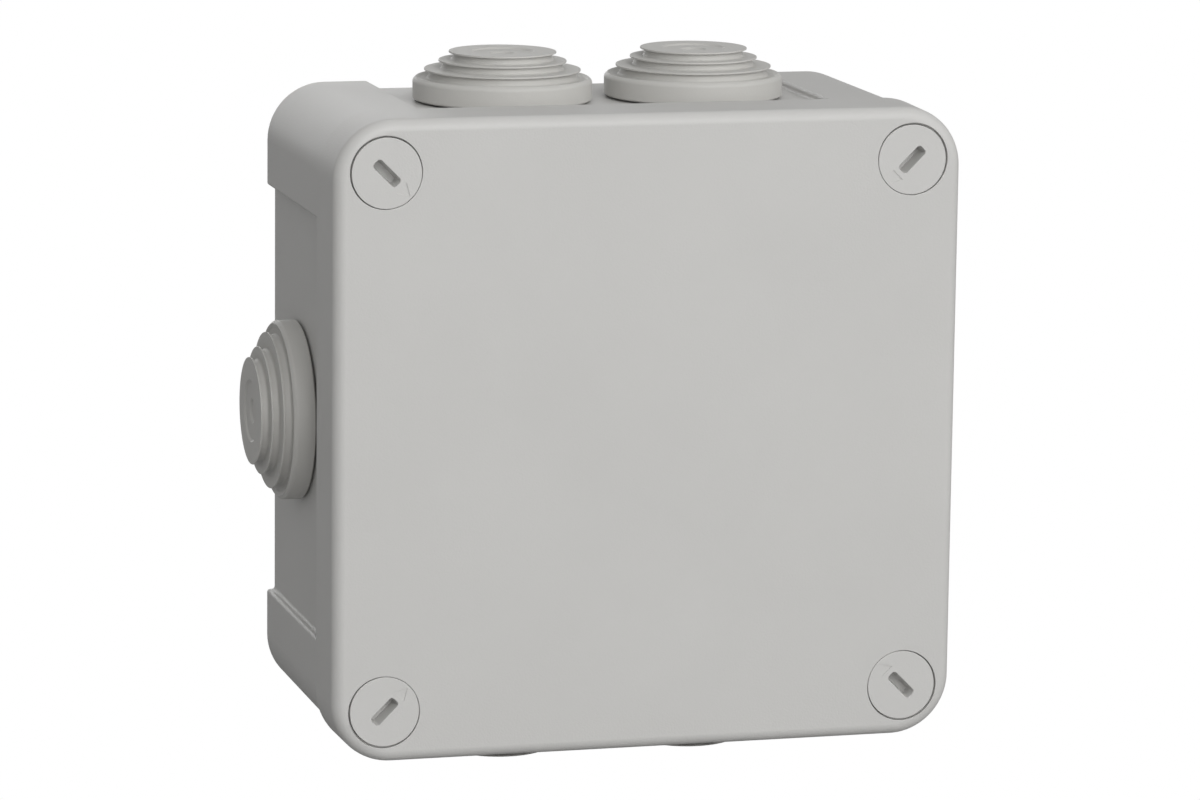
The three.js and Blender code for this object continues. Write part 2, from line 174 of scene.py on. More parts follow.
PAD_RADIUS = 3.2
PAD_TOP = 5
PILOT_RADIUS = 1.5
STRIP_POLES = 5
STRIP_PITCH = 10.6
STRIP_BOTTOM = PAD_TOP + PIECE_GAP
STRIP_TOP = 20
STRIP_HALF_DEPTH = 9
STRIP_EAR_OFFSET = 32
EAR_RADIUS = 4.4
EAR_ROOT = 4  # how much longer than round an ear is, towards the strip
EAR_TOP = 8.6
EAR_HOLE_RADIUS = 1.6
BARRIER_WIDTH = 1.2
BARRIER_DEPTH = 8
ACCESS_RADIUS = 2.35
TUNNEL_BOTTOM = 8
TUNNEL_SIZE = 6.8

CLAMP_BOTTOM = TUNNEL_BOTTOM + PIECE_GAP
CLAMP_SIZE = 6.1
CLAMP_TOP = CLAMP_BOTTOM + CLAMP_SIZE
CLAMP_LENGTH = 14.4
CLAMP_THREAD_RADIUS = 1.55
CLAMP_SCREW_OFFSET = 4.7
WIRE_HOLE_RADIUS = 2
WIRE_HOLE_HEIGHT = CLAMP_BOTTOM + 2.55

ENDS = (-1, 1)  # signs of two places that mirror each other
CORNERS = {"top_right": (1, 1), "top_left": (-1, 1), "bottom_left": (-1, -1), "bottom_right": (1, -1)}
ENTRIES = {
    "top_left": (-ENTRY_SPREAD, 0),
    "top_right": (ENTRY_SPREAD, 0),
    "left": (0, 90),
    "bottom_right": (-ENTRY_SPREAD, 180),
    "bottom_left": (ENTRY_SPREAD, 180),
    "right_lower": (ENTRY_SPREAD, -90),
    "right_upper": (-ENTRY_SPREAD, -90),
}


# ------------------------------------------------------------------ outlines

# An outline is a function that gives its points when it is drawn in by an inset.

def rounded_path(corners, closed=False):
    """The path through corners (x, y, radius, steps), each one turned into an arc of that radius."""
    path = []
    last = len(corners) - 1
    for i, (x, y, radius, steps) in enumerate(corners):
        if radius <= 0 or (not closed and i in (0, last)):
            path.append((x, y))
            continue
        corner = Vector((x, y))
        before = (Vector(corners[i - 1][:2]) - corner).normalized()
        after = (Vector(corners[(i + 1) % len(corners)][:2]) - corner).normalized()
        half = before.angle(after) / 2
        centre = corner + (before + after).normalized() * radius / math.sin(half)
        start = corner + before * radius / math.tan(half) - centre
        end = corner + after * radius / math.tan(half) - centre
        first = math.atan2(start.y, start.x)
        sweep = (math.atan2(end.y, end.x) - first + math.pi) % math.tau - math.pi
        for k in range(steps + 1):
            angle = first + sweep * k / steps
            path.append((centre.x + radius * math.cos(angle), centre.y + radius * math.sin(angle)))
    return path


def four_sided(side):
    """The same run of corners on all four sides, each a quarter turn on from the last."""
    turns = ((1, 0), (0, 1), (-1, 0), (0, -1))
    return [(x * c - y * s, x * s + y * c, *rest) for c, s in turns for x, y, *rest in side]


def circle(radius, cx=0, cy=0, segments=48):
    def outline(inset):
        angles = [math.tau * i / segments for i in range(segments)]
        return [(cx + (radius - inset) * math.cos(a), cy + (radius - inset) * math.sin(a)) for a in angles]
    return outline


def rectangle(width, height, radius, cx=0, cy=0, turn=0, steps=5):
    """A rectangle with rounded corners, turned about its centre."""
    def outline(inset):
        x, y = width / 2 - inset, height / 2 - inset
        corners = [(x, -y), (x, y), (-x, y), (-x, -y)]
        path = rounded_path([(*c, max(radius - inset, 0), steps) for c in corners], closed=True)
        cos, sin = math.cos(turn), math.sin(turn)
        return [(cx + px * cos - py * sin, cy + px * sin + py * cos) for px, py in path]
    return outline


def base_outline(inset):
    """Straight shoulders at the corners and a recessed panel in each side."""
    half, panel = BASE_HALF - inset, PANEL_SEAT - inset
    ledge = PANEL_HALF + inset
    edge, foot = PANEL_EDGE_RADIUS - inset, PANEL_FOOT_RADIUS + inset
    side = [
        (half, -ledge, edge, 4),
        (panel, -ledge, foot, 4),
        (panel, ledge, foot, 4),
        (half, ledge, edge, 4),
        (half, half, BASE_CORNER_RADIUS - inset, 16),
    ]
    return rounded_path(four_sided(side), closed=True)


def notched(half, notch, steps=20):
    """A square whose corners are notched by a circle round each lid screw."""
    def outline(inset):
        reach = half - inset - SCREW_OFFSET
        radius = notch + inset
        start = math.atan2(-math.sqrt(radius ** 2 - reach ** 2), reach)
        end = -1.5 * math.pi - start
        angles = [start + (end - start) * i / steps for i in range(steps + 1)]
        side = [(SCREW_OFFSET + radius * math.cos(a), SCREW_OFFSET + radius * math.sin(a)) for a in angles]
        return four_sided(side)
    return outline


# ------------------------------------------------------------------ solids

def solid(name, vertices, faces):
    mesh = bpy.data.meshes.new(name)
    mesh.from_pydata(vertices, [], faces)
    work = bmesh.new()
    work.from_mesh(mesh)
    bmesh.ops.recalc_face_normals(work, faces=work.faces)
    work.to_mesh(mesh)
    work.free()
    obj = bpy.data.objects.new(name, mesh)
    bpy.context.scene.collection.objects.link(obj)
    return obj


def loft(name, rings, closed=False):
    """Skin over rings of equal length. An open loft is capped, and a closed one joins up with itself."""
    count = len(rings[0])
    vertices = [point for ring in rings for point in ring]
    faces = []
    for i in range(len(rings) if closed else len(rings) - 1):
        a, b = i * count, (i + 1) % len(rings) * count
        for j in range(count):
            k = (j + 1) % count
            faces.append((a + j, a + k, b + k, b + j))
    if not closed:
        faces.append(tuple(range(count)))
        faces.append(tuple(range(len(vertices) - count, len(vertices))))
    return solid(name, vertices, faces)


def at_height(points, z):
    return [(x, y, z) for x, y in points]


def quarter(radius, steps=4):
    """(inset, rise) pairs of a quarter-round edge, from its flat face to its wall."""
    angles = [math.pi / 2 * i / steps for i in range(steps + 1)]
    return [(radius * (1 - math.sin(a)), radius * (1 - math.cos(a))) for a in angles]


def prism(name, outline, bottom, top, low=0.0, high=0.0):
    """An outline pulled up from bottom to top, with rounded edges of radius low and high."""
    profile = [(inset, bottom + rise) for inset, rise in quarter(low)] if low else [(0, bottom)]
    profile += [(inset, top - rise) for inset, rise in reversed(quarter(high))] if high else [(0, top)]
    return loft(name, [at_height(outline(inset), z) for inset, z in profile])


def cutter(name, outline, bottom, top, flare=0.0, low=0.0):
    """A prism that cuts a hole whose rim, at the height top, is rounded by the radius flare."""
    profile = [(inset, bottom + rise) for inset, rise in quarter(low)] if low else [(0, bottom)]
    if flare:
        profile += [(-inset, top - rise) for inset, rise in reversed(quarter(flare))]
    profile.append((-flare, top + OVERRUN))
    return loft(name, [at_height(outline(inset), z) for inset, z in profile])


def turned(name, corners, segments=64):
    """A profile of (radius, height, rounding, steps) corners turned round the z axis."""
    rings = []
    for radius, z in rounded_path(corners):
        rings.append(at_height(circle(radius, segments=segments)(0), z))
    return loft(name, rings)


def swept_ring(name, section, outline):
    """A closed section of (inset, z) points carried round an outline."""
    return loft(name, [at_height(outline(inset), z) for inset, z in section], closed=True)


def merged(objects):
    """One object that holds separate solids."""
    target = objects[0]
    work = bmesh.new()
    for obj in objects:
        obj.data.transform(obj.matrix_world)
        work.from_mesh(obj.data)
    work.to_mesh(target.data)
    work.free()
    target.matrix_world = Matrix.Identity(4)
    for obj in objects[1:]:
        bpy.data.objects.remove(obj)
    return target


def bake(obj):
    """Applies the modifiers of an object to its mesh."""
    bpy.context.view_layer.update()
    evaluated = obj.evaluated_get(bpy.context.evaluated_depsgraph_get())
    mesh = bpy.data.meshes.new_from_object(evaluated)
    obj.modifiers.clear()
    obj.data = mesh
    return obj


def combine(target, operation, tools):
    """Joins or cuts one solid with a list of solids that are clear of each other."""
    tool = merged(tools)
    modifier = target.modifiers.new("combine", "BOOLEAN")
    modifier.operation = operation
    modifier.solver = "EXACT"
    modifier.object = tool
    bake(target)
    bpy.data.objects.remove(tool)
    return target


def join(target, *tools):
    return combine(target, "UNION", list(tools))


def cut(target, *tools):
    return combine(target, "DIFFERENCE", list(tools))


def clean(obj):
    """Removes the slivers that booleans leave."""
    work = bmesh.new()
    work.from_mesh(obj.data)
    bmesh.ops.remove_doubles(work, verts=work.verts, dist=1e-4)
    bmesh.ops.dissolve_degenerate(work, edges=work.edges, dist=1e-4)
    work.to_mesh(obj.data)
    work.free()
    return obj


def shade(obj, sharp_angle=32):
    """Smooth shading that keeps flat faces flat and hard edges hard."""
    obj.data.shade_smooth()
    obj.data.set_sharp_from_angle(angle=math.radians(sharp_angle))
    modifier = obj.modifiers.new("normals", "WEIGHTED_NORMAL")
    modifier.keep_sharp = True
    modifier.weight = 80
    return bake(obj)


# ------------------------------------------------------------------ materials

def node(tree, kind, inputs=None, **settings):
    made = tree.nodes.new(kind)
    for key, value in settings.items():
        setattr(made, key, value)
    for key, value in (inputs or {}).items():
        if isinstance(value, bpy.types.NodeSocket):
            tree.links.new(value, made.inputs[key])
        else:
            made.inputs[key].default_value = value
    return made


def new_material(name):
    material = bpy.data.materials.new(name)
    material.use_nodes = True
    tree = material.node_tree
    tree.nodes.clear()
    shader = tree.nodes.new("ShaderNodeBsdfPrincipled")
    output = tree.nodes.new("ShaderNodeOutputMaterial")
    tree.links.new(shader.outputs["BSDF"], output.inputs["Surface"])
    place = tree.nodes.new("ShaderNodeTexCoord").outputs["Object"]
    return material, tree, shader, place


def noise(tree, place, scale, detail):
    inputs = {"Vector": place, "Scale": scale, "Detail": detail, "Roughness": 0.5}
    return node(tree, "ShaderNodeTexNoise", inputs).outputs["Fac"]


def spread(tree, value, low, high):
    """Maps a noise value, which stays near its middle, to the range from low to high."""
    inputs = {"Value": value, "From Min": 0.3, "From Max": 0.7, "To Min": low, "To Max": high}
    return node(tree, "ShaderNodeMapRange", inputs).outputs["Result"]


def tint(tree, value, colour, change):
    """A colour that wanders between darker and lighter by the given share."""
    dark = (*[c * (1 - change) for c in colour], 1)
    light = (*[min(c * (1 + change), 1) for c in colour], 1)
    made = node(tree, "ShaderNodeMix", data_type="RGBA")
    tree.links.new(value, made.inputs["Factor"])
    made.inputs["A"].default_value = dark
    made.inputs["B"].default_value = light
    return made.outputs["Result"]


def bump(tree, height, strength, distance, normal=None):
    inputs = {"Height": height, "Strength": strength, "Distance": distance}
    if normal:
        inputs["Normal"] = normal
    return node(tree, "ShaderNodeBump", inputs).outputs["Normal"]


def moulded(name, colour, roughness, grain, change=0.012, sheen=0.0):
    """Moulded plastic or rubber: a fine spark-eroded grain over slow changes in colour and gloss."""
    material, tree, shader, place = new_material(name)
    slow = noise(tree, place, scale=45, detail=3)
    fine = noise(tree, place, scale=3200, detail=1)
    pits = node(tree, "ShaderNodeTexVoronoi", {"Vector": place, "Scale": 2600}).outputs["Distance"]
    tree.links.new(tint(tree, spread(tree, slow, 0, 1), colour, change), shader.inputs["Base Color"])
    tree.links.new(spread(tree, slow, roughness - 0.03, roughness + 0.03), shader.inputs["Roughness"])
    waviness = bump(tree, slow, strength=0.15, distance=0.0003)
    pitted = bump(tree, pits, grain, distance=0.00004, normal=waviness)
    grained = bump(tree, fine, grain, distance=0.00006, normal=pitted)
    tree.links.new(grained, shader.inputs["Normal"])
    shader.inputs["IOR"].default_value = 1.46
    shader.inputs["Sheen Weight"].default_value = sheen
    return material


def metal(name, colour, roughness, scratches):
    """Machined metal: fine turning marks over slow stains."""
    material, tree, shader, place = new_material(name)
    slow = noise(tree, place, scale=300, detail=3)
    stretched = node(tree, "ShaderNodeMapping", {"Vector": place, "Scale": (9000, 400, 9000)})
    marks = noise(tree, stretched.outputs["Vector"], scale=1, detail=2)
    tree.links.new(tint(tree, spread(tree, slow, 0, 1), colour, change=0.08), shader.inputs["Base Color"])
    tree.links.new(spread(tree, marks, roughness - 0.08, roughness + 0.1), shader.inputs["Roughness"])
    tree.links.new(bump(tree, marks, scratches, distance=0.00003), shader.inputs["Normal"])
    shader.inputs["Metallic"].default_value = 1
    return material


HOUSING = moulded("housing_plastic", (0.56, 0.555, 0.54), roughness=0.42, grain=0.25)
SCREW = moulded("screw_plastic", (0.57, 0.565, 0.55), roughness=0.42, grain=0.2)
CAP = moulded("cap_plastic", (0.56, 0.555, 0.54), roughness=0.42, grain=0.2)
GROMMET = moulded("grommet_rubber", (0.52, 0.513, 0.49), roughness=0.5, grain=0.2, sheen=0.1)
GASKET = moulded("gasket_rubber", (0.035, 0.035, 0.035), roughness=0.65, grain=0.4, change=0.1)
STRIP = moulded("strip_plastic", (0.78, 0.75, 0.67), roughness=0.35, grain=0.15)
BRASS = metal("clamp_brass", (0.75, 0.55, 0.25), roughness=0.3, scratches=0.4)
STEEL = metal("zinc_steel", (0.66, 0.67, 0.68), roughness=0.3, scratches=0.3)


# ------------------------------------------------------------------ placing pieces

def stand_up(obj, name, material, body):
    """Turns a finished piece into the row frame and hands it over in place of its CAD node."""
    obj.name = name
    obj.data.name = name
    obj.data.transform(UPRIGHT @ obj.matrix_world)
    obj.matrix_world = Matrix.Identity(4)
    obj.data.materials.clear()
    obj.data.materials.append(material)
    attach(obj, body)
    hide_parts(name.removesuffix("_fine"))


def copy_at(source, matrix):
    """A copy of a finished piece, with a mesh of its own, at another place."""
    twin = source.copy()
    twin.data = source.data.copy()
    bpy.context.scene.collection.objects.link(twin)
    twin.matrix_world = matrix
    return twin


# ------------------------------------------------------------------ base

def entry_matrix(along, turn):
    """From a shape on the z axis, with z = 0 on the panel, to one of the cable entries."""
    turned_about_wall = Matrix.Rotation(math.radians(turn), 4, "Z")
    moved = Matrix.Translation((along, PANEL_SEAT, ENTRY_HEIGHT))
    return turned_about_wall @ moved @ Matrix.Rotation(-math.pi / 2, 4, "X")


def entry_cutter(along, turn):
    hole = prism("hole", circle(ENTRY_RADIUS, segments=72), -ENTRY_REACH, ENTRY_REACH)
    hole.matrix_world = entry_matrix(along, turn)
    return hole


def at_corners(make, name, offset, radius, bottom, top, segments=48, **edges):
    """Four round prisms or cutters, one near each corner of the box."""
    circles = [circle(radius, sx * offset, sy * offset, segments) for sx, sy in CORNERS.values()]
    return [make(name, outline, bottom, top, **edges) for outline in circles]


def keyhole(sx, sy):
    """The way in for the cross-bar of a lid screw, along the diagonal of the box."""
    turn = sx * sy * math.pi / 4
    outline = rectangle(KEYHOLE_LENGTH, KEYHOLE_WIDTH, 0.5, sx * SCREW_OFFSET, sy * SCREW_OFFSET, turn)
    return cutter("keyhole", outline, CHAMBER_TOP - OVERRUN, TOWER_TOP, flare=0.25)


def upside_down(obj):
    """Mirrors a cutter in the plane z = 0, for holes that open towards the wall."""
    obj.data.transform(Matrix.Diagonal((1, 1, -1, 1)))
    obj.data.flip_normals()
    return obj


def make_shell():
    """The walls and the floor, with the sealing rim and the towers under the lid screws."""
    shell = prism("shell", base_outline, 0, BASE_TOP, low=BASE_EDGE, high=BASE_EDGE)
    rim = notched(RIM_INNER_HALF + RIM_WALL, RIM_INNER_NOTCH - RIM_WALL)
    join(shell, prism("rim", rim, RIM_ROOT, RIM_TOP, high=BASE_EDGE))
    join(shell, *at_corners(prism, "tower", SCREW_OFFSET, TOWER_RADIUS, RIM_ROOT, TOWER_TOP, high=BASE_EDGE))
    cavity = notched(RIM_INNER_HALF, RIM_INNER_NOTCH)
    cut(shell, cutter("cavity", cavity, BASE_FLOOR, RIM_TOP, flare=BASE_EDGE, low=1))
    return shell


def make_base():
    shell = make_shell()
    cut(shell, *at_corners(prism, "chamber", SCREW_OFFSET, CHAMBER_RADIUS, CHAMBER_BOTTOM, CHAMBER_TOP))
    cut(shell, *at_corners(
        cutter, "bore", SCREW_OFFSET, KEYHOLE_RADIUS, CHAMBER_TOP - OVERRUN, TOWER_TOP, flare=0.25))
    cut(shell, *[keyhole(sx, sy) for sx, sy in CORNERS.values()])
    pockets = at_corners(cutter, "pocket", SCREW_OFFSET, POCKET_RADIUS, -POCKET_TOP, 0, flare=BASE_EDGE)
    cut(shell, *[upside_down(pocket) for pocket in pockets])

    bosses = at_corners(
        prism, "boss", FIXING_OFFSET, FIXING_BOSS_RADIUS, BOSS_ROOT, FIXING_BOSS_TOP, high=0.35)
    pads = [prism("pad", circle(PAD_RADIUS, end * STRIP_EAR_OFFSET), BOSS_ROOT, PAD_TOP, high=0.3)
            for end in ENDS]
    join(shell, *bosses, *pads)
    sinks = at_corners(
        cutter, "sink", FIXING_OFFSET, FIXING_SINK_RADIUS, FIXING_SINK_FLOOR, FIXING_BOSS_TOP, flare=0.2)
    pilots = [cutter("pilot", circle(PILOT_RADIUS, end * STRIP_EAR_OFFSET, segments=24),
                     BASE_FLOOR, PAD_TOP, flare=0.2) for end in ENDS]
    cut(shell, *sinks, *pilots)
    holes = at_corners(
        cutter, "fixing", FIXING_OFFSET, FIXING_HOLE_RADIUS, -FIXING_SINK_FLOOR - OVERRUN, 0, flare=0.3)
    cut(shell, *[upside_down(hole) for hole in holes])
    cut(shell, *[entry_cutter(*entry) for entry in ENTRIES.values()])
    return shade(clean(shell))


# ------------------------------------------------------------------ lid and gasket

def lid_shell():
    """The plate and its skirt, built up from the flat underside out to the flat front."""
    under_flat, front_flat = 49, 48
    profile = rounded_path([
        (under_flat, LID_UNDERSIDE, 0, 0),
        (LID_INNER_HALF, LID_UNDERSIDE, 0.8, 4),
        (LID_INNER_HALF, SEAM, 0.3, 4),
        (LID_HALF, SEAM, 0.3, 4),
        (LID_HALF - LID_DRAFT, DEPTH, LID_FILLET, 10),
        (front_flat, DEPTH, 0, 0),
    ])
    rings = []
    for half, z in profile:
        outline = rectangle(2 * half, 2 * half, half - CORNER_CENTRE, steps=20)
        rings.append(at_height(outline(0), z))
    return loft("lid_shell", rings)


def lid_rib():
    """The inner wall of the gasket's groove."""
    top, chamfer = LID_UNDERSIDE + 0.5, 0.4
    section = [
        (0, top),
        (0, LID_RIB_BOTTOM + chamfer),
        (chamfer, LID_RIB_BOTTOM),
        (LID_RIB_WALL - chamfer, LID_RIB_BOTTOM),
        (LID_RIB_WALL, LID_RIB_BOTTOM + chamfer),
        (LID_RIB_WALL, top),
    ]
    return swept_ring("rib", section, notched(LID_RIB_HALF, LID_RIB_NOTCH))


def make_lid():
    lid = join(lid_shell(), lid_rib())
    boss_bottom, boss_top = WELL_BOSS_BOTTOM, LID_UNDERSIDE + 0.5
    join(lid, *at_corners(prism, "boss", WELL_OFFSET, WELL_BOSS_RADIUS, boss_bottom, boss_top, 64, low=0.4))
    ledge = DEPTH - WELL_LEDGE
    cut(lid, *at_corners(cutter, "mouth", WELL_OFFSET, WELL_RADIUS, ledge, DEPTH, 96, flare=0.1))
    radius, floor = SCREW_HEAD_RADIUS + SCREW_HEAD_GAP, SCREW_HEAD_BOTTOM - PIECE_GAP
    cut(lid, *at_corners(prism, "well", SCREW_OFFSET, radius, floor, DEPTH, 96))
    cut(lid, *at_corners(prism, "bore", SCREW_OFFSET, WELL_BORE_RADIUS, boss_bottom - OVERRUN, DEPTH, 64))
    return shade(clean(lid))


def make_gasket():
    """A soft cord with a rounded section, laid round the groove of the lid."""
    bottom = RIM_TOP + PIECE_GAP
    roundness, steps = 0.6, 20  # a roundness of 1 would be an ellipse, and 0 a rectangle
    section = []
    for i in range(steps):
        angle = math.tau * i / steps
        x = math.copysign(abs(math.cos(angle)) ** roundness, math.cos(angle))
        z = math.copysign(abs(math.sin(angle)) ** roundness, math.sin(angle))
        section.append((GASKET_WIDTH / 2 * (1 - x), bottom + GASKET_HEIGHT / 2 * (1 + z)))
    rim_half, rim_notch = RIM_INNER_HALF + RIM_WALL, RIM_INNER_NOTCH - RIM_WALL
    return shade(swept_ring("gasket", section, notched(rim_half + 0.1, rim_notch - 0.2)))


# ------------------------------------------------------------------ lid screws

def make_lid_screw():
    """On the z axis, with its slot along x and the inner end of the slot towards -x."""
    screw = turned("screw", [
        (0.8, CROSSBAR_BOTTOM, 0, 0),
        (SCREW_SHANK_RADIUS, CROSSBAR_BOTTOM, 0.4, 3),
        (SCREW_SHANK_RADIUS, SCREW_COLLAR_TOP - 1.6, 0.3, 3),
        (SCREW_COLLAR_RADIUS - 0.5, SCREW_COLLAR_TOP - 1.1, 0.1, 2),
        (SCREW_COLLAR_RADIUS, SCREW_COLLAR_TOP - 0.6, 0.1, 2),
        (SCREW_COLLAR_RADIUS, SCREW_COLLAR_TOP, 0.1, 2),
        (SCREW_NECK_RADIUS, SCREW_COLLAR_TOP, 0.1, 2),
        (SCREW_NECK_RADIUS, SCREW_HEAD_BOTTOM, 0.1, 2),
        (SCREW_HEAD_RADIUS, SCREW_HEAD_BOTTOM, 0.15, 3),
        (SCREW_HEAD_RADIUS, DEPTH, 0.12, 4),
        (1, DEPTH, 0, 0),
    ], segments=96)
    bar = rectangle(CROSSBAR_LENGTH, CROSSBAR_WIDTH, 0.8)
    join(screw, prism("bar", bar, CROSSBAR_BOTTOM - OVERLAP, CROSSBAR_TOP, low=0.3, high=0.3))
    cut(screw, driver_slot(), pointer())
    return shade(clean(screw))


def driver_slot():
    """The cutter of a slot whose walls draw in towards its floor, as a mould needs."""
    outline = rectangle(SLOT_LENGTH, SLOT_WIDTH, SLOT_END_RADIUS)
    profile = [
        (SLOT_DRAFT, DEPTH - SLOT_DEPTH),
        (0, DEPTH - SLOT_CHAMFER),
        (-SLOT_CHAMFER, DEPTH),
        (-SLOT_CHAMFER, DEPTH + OVERRUN),
    ]
    return loft("slot", [at_height(outline(inset), z) for inset, z in profile])


def pointer():
    """The cutter of a shallow arrowhead between the slot and the rim of a lid screw."""
    base, tip, half_width, depth = -3.4, -5.35, 1.15, 0.12
    triangle = [(tip, 0), (base, -half_width), (base, half_width)]
    return loft("pointer", [at_height(triangle, DEPTH - depth), at_height(triangle, DEPTH + OVERRUN)])


# ------------------------------------------------------------------ grommets

def tier(radius, low, high):
    """One step: a wall that leans in from its rounded foot, and the thin lip that overhangs it."""
    return [
        (radius - 0.55, low, 0.45, 5),
        (radius - 0.8, high - 0.4, 0.12, 3),
        (radius, high - 0.26, 0.05, 2),
        (radius - 0.03, high, 0.06, 2),
    ]


def make_grommet():
    """On the z axis, with z = 0 on the panel that it is pushed into."""
    inside = [
        (1, 7, 0, 0),
        (7.6, 7, 0.5, 4),
        (9.3, 5.4, 0.6, 4),
        (GROMMET_BORE_RADIUS, 3.2, 0.8, 4),
        (GROMMET_BORE_RADIUS, GROMMET_BOTTOM, 0.3, 3),
    ]
    lip = [
        (ENTRY_RADIUS, GROMMET_BOTTOM, 0.35, 3),
        (GROMMET_LIP_RADIUS, -3.6, 0.4, 3),
        (GROMMET_LIP_RADIUS, GROMMET_LIP_TOP, 0.3, 3),
        (GROMMET_NECK_RADIUS, GROMMET_LIP_TOP, 0.15, 2),
        (GROMMET_NECK_RADIUS, PIECE_GAP, 0.15, 2),
    ]
    flange = [
        (FLANGE_RADIUS - 0.35, PIECE_GAP, 0.15, 3),
        (FLANGE_RADIUS, 0.55, 0.15, 3),
        (FLANGE_RADIUS, FLANGE_TOP - 0.2, 0.8, 6),
        (FLANGE_RADIUS - 0.55, FLANGE_TOP + 0.27, 0.08, 2),
        (FLANGE_RADIUS - 1.25, FLANGE_TOP, 0.5, 3),
    ]
    steps = []
    low = FLANGE_TOP
    for radius, high in TIERS:
        steps += tier(radius, low, high)
        low = high
    disc = [
        (DISC_RADIUS, low, 0.2, 4),
        (DISC_RADIUS - 0.4, low - 0.32, 0.25, 4),
        (DIMPLE_RADIUS, low - 0.32, 0.2, 4),
        (DIMPLE_RADIUS - 0.5, low - 0.7, 0.3, 4),
        (0.4, low - 0.7, 0, 0),
    ]
    grommet = turned("grommet", inside + lip + flange + steps + disc, segments=120)
    return shade(grommet, sharp_angle=40)


# ------------------------------------------------------------------ fittings inside

def make_fixing_cap():
    return shade(turned("cap", [
        (0.5, CAP_PLUG_BOTTOM, 0, 0),
        (CAP_PLUG_RADIUS, CAP_PLUG_BOTTOM, 0.35, 3),
        (CAP_PLUG_RADIUS, CAP_SEAT, 0.1, 2),
        (CAP_RADIUS, CAP_SEAT, 0.1, 2),
        (CAP_RADIUS, CAP_TOP, 0.45, 4),
        (2.2, CAP_TOP, 0.1, 3),
        (1.6, CAP_DIMPLE, 0.3, 3),
        (0.3, CAP_DIMPLE, 0, 0),
    ], segments=48))


def pole_x(pole):
    return (pole - (STRIP_POLES - 1) / 2) * STRIP_PITCH


def ear(end):
    outline = rectangle(2 * EAR_RADIUS + EAR_ROOT, 2 * EAR_RADIUS, EAR_RADIUS - 0.1,
                        end * (STRIP_EAR_OFFSET - EAR_ROOT / 2), steps=10)
    return prism("ear", outline, STRIP_BOTTOM, EAR_TOP, low=0.3, high=0.4)


def barrier(x):
    """The groove that parts two poles."""
    outline = rectangle(BARRIER_WIDTH, 2 * (STRIP_HALF_DEPTH + OVERRUN), 0.3, x)
    return cutter("barrier", outline, STRIP_TOP - BARRIER_DEPTH, STRIP_TOP, flare=0.4)


def tunnel(x):
    """The square way through the strip that holds one clamp, with flared mouths."""
    outline = rectangle(TUNNEL_SIZE, TUNNEL_SIZE, 0.4)
    reach = STRIP_HALF_DEPTH + 3 * OVERRUN
    shaft = prism("tunnel", outline, -reach, reach)
    mouth = [
        (0, STRIP_HALF_DEPTH - 0.7),
        (-0.5, STRIP_HALF_DEPTH + 0.05),
        (-0.5, STRIP_HALF_DEPTH + OVERRUN),
    ]
    mouths = [loft("mouth", [at_height(outline(inset), end * z) for inset, z in mouth]) for end in ENDS]
    join(shaft, *mouths)
    shaft.matrix_world = Matrix.Translation((x, 0, TUNNEL_BOTTOM + TUNNEL_SIZE / 2)) @ LAID_DOWN
    return shaft


def access(x, y):
    """The round way down to a clamp screw."""
    return cutter("access", circle(ACCESS_RADIUS, x, y, 32), TUNNEL_BOTTOM + 2, STRIP_TOP, flare=0.35)


def ear_hole(end):
    outline = circle(EAR_HOLE_RADIUS, end * STRIP_EAR_OFFSET, segments=32)
    return cutter("ear_hole", outline, STRIP_BOTTOM - OVERRUN, EAR_TOP, flare=0.2)


def make_strip_body():
    outline = rectangle(STRIP_POLES * STRIP_PITCH, 2 * STRIP_HALF_DEPTH, 0.8)
    body = prism("rail", outline, STRIP_BOTTOM, STRIP_TOP, low=0.4, high=0.5)
    poles = [pole_x(pole) for pole in range(STRIP_POLES)]
    join(body, *[ear(end) for end in ENDS])
    cut(body, *[barrier(x + STRIP_PITCH / 2) for x in poles[:-1]])
    cut(body, *[tunnel(x) for x in poles])
    cut(body, *[access(x, end * CLAMP_SCREW_OFFSET) for x in poles for end in ENDS])
    cut(body, *[ear_hole(end) for end in ENDS])
    return shade(clean(body))


def make_clamp():
    outline = rectangle(CLAMP_SIZE, CLAMP_LENGTH, 0.3)
    bar = prism("clamp", outline, CLAMP_BOTTOM, CLAMP_TOP, low=0.3, high=0.3)
    wire = prism("wire", circle(WIRE_HOLE_RADIUS, segments=40), -STRIP_HALF_DEPTH, STRIP_HALF_DEPTH)
    wire.matrix_world = Matrix.Translation((0, 0, WIRE_HOLE_HEIGHT)) @ LAID_DOWN
    cut(bar, wire)
    threads = [circle(CLAMP_THREAD_RADIUS, 0, end * CLAMP_SCREW_OFFSET, 28) for end in ENDS]
    cut(bar, *[cutter("thread", thread, CLAMP_BOTTOM + 3, CLAMP_TOP, flare=0.25) for thread in threads])
    return shade(clean(bar))


def threaded(name, radius, bottom, top, pitch, depth, segments=24, steps=6):
    """A shank whose radius follows a screw thread."""
    rings = []
    count = max(int((top - bottom) / pitch * steps), 2)
    for i in range(count + 1):
        z = bottom + (top - bottom) * i / count
        ring = []
        for j in range(segments):
            phase = ((z - bottom) / pitch - j / segments) % 1
            r = radius - depth * abs(2 * phase - 1)
            angle = math.tau * j / segments
            ring.append((r * math.cos(angle), r * math.sin(angle), z))
        rings.append(ring)
    return loft(name, rings)


